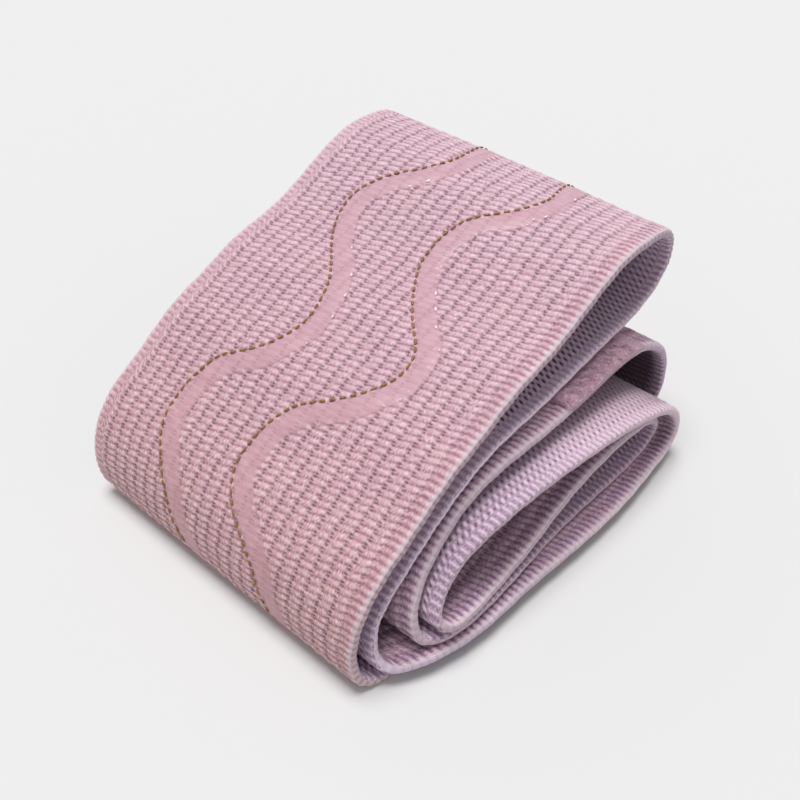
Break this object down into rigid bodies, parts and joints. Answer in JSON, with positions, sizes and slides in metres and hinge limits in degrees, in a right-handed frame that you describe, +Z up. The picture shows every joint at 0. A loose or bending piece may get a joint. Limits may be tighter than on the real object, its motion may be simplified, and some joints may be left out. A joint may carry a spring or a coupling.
{
  "type": "resistance band",
  "caption": "Wide knitted elastic loop band, folded flat into a wedge-shaped roll of plies, with raised silicone grip waves edged in dashed thread.",
  "frame": {"origin": "middle of the folded band's footprint, on the surface that it lies on", "axes": "+X along the folded stack from the closed crease to the open turns, +Y across the webbing away from the exposed selvedges, +Z up"},
  "size_m": [0.11, 0.0974, 0.0564],
  "materials": {
    "webbing": "knitted elastic webbing, matt, raised stitches",
    "webbing_seam": "felted lap of the same webbing",
    "silicone": "translucent soft silicone, satin to glossy",
    "gold_thread": "twisted metallic-look thread",
    "seam_thread": "polyester sewing thread"
  },
  "bodies": {
    "base": {"bottom_ply_inner": "webbing", "bottom_ply_outer": "webbing", "crease_inner": "webbing", "crease_outer": "webbing", "grip_wave_a_crease_outer": "silicone", "grip_wave_a_right_turn_outer": "silicone", "grip_wave_b_crease_outer": "silicone", "grip_wave_b_right_turn_outer": "silicone", "right_turn_inner": "webbing", "right_turn_outer": "webbing"},
    "flap": {"gold_stitches_a_top_ply": "gold_thread", "gold_stitches_a_top_turn": "gold_thread", "gold_stitches_b_top_ply": "gold_thread", "gold_stitches_b_top_turn": "gold_thread", "grip_wave_a_second_ply": "silicone", "grip_wave_a_top_ply": "silicone", "grip_wave_a_top_turn": "silicone", "grip_wave_b_second_ply": "silicone", "grip_wave_b_top_ply": "silicone", "grip_wave_b_top_turn": "silicone", "second_ply": "webbing", "top_ply": "webbing", "top_turn": "webbing"},
    "inner_roll": {"grip_wave_a_middle_ply_outer": "silicone", "grip_wave_b_middle_ply_outer": "silicone", "inner_end_turn": "webbing", "inner_ply_lower": "webbing", "inner_ply_upper": "webbing", "left_turn_inner": "webbing", "left_turn_outer": "webbing", "middle_ply_inner": "webbing", "middle_ply_outer": "webbing", "seam_lap_end": "webbing_seam", "seam_stitching": "seam_thread"}
  },
  "joints": [
    {"name": "top_flap_unfold", "type": "hinge", "parent": "base", "child": "flap", "pos_m": [-0.0532, 0, 0.00995], "axis": [0, -1, 0], "range_deg": [0, 140], "deforming": ["crease_inner", "crease_outer", "grip_wave_a_crease_outer", "grip_wave_b_crease_outer"]},
    {"name": "inner_roll_unfold", "type": "hinge", "parent": "base", "child": "inner_roll", "pos_m": [0.0492, 0, 0.011], "axis": [0, 1, 0], "range_deg": [0, 49], "deforming": ["grip_wave_a_right_turn_outer", "grip_wave_b_right_turn_outer", "right_turn_inner", "right_turn_outer"]}
  ],
  "couplings": [
    {"joint": "inner_roll_unfold", "follows": "top_flap_unfold", "ratio": 0.35}
  ]
}
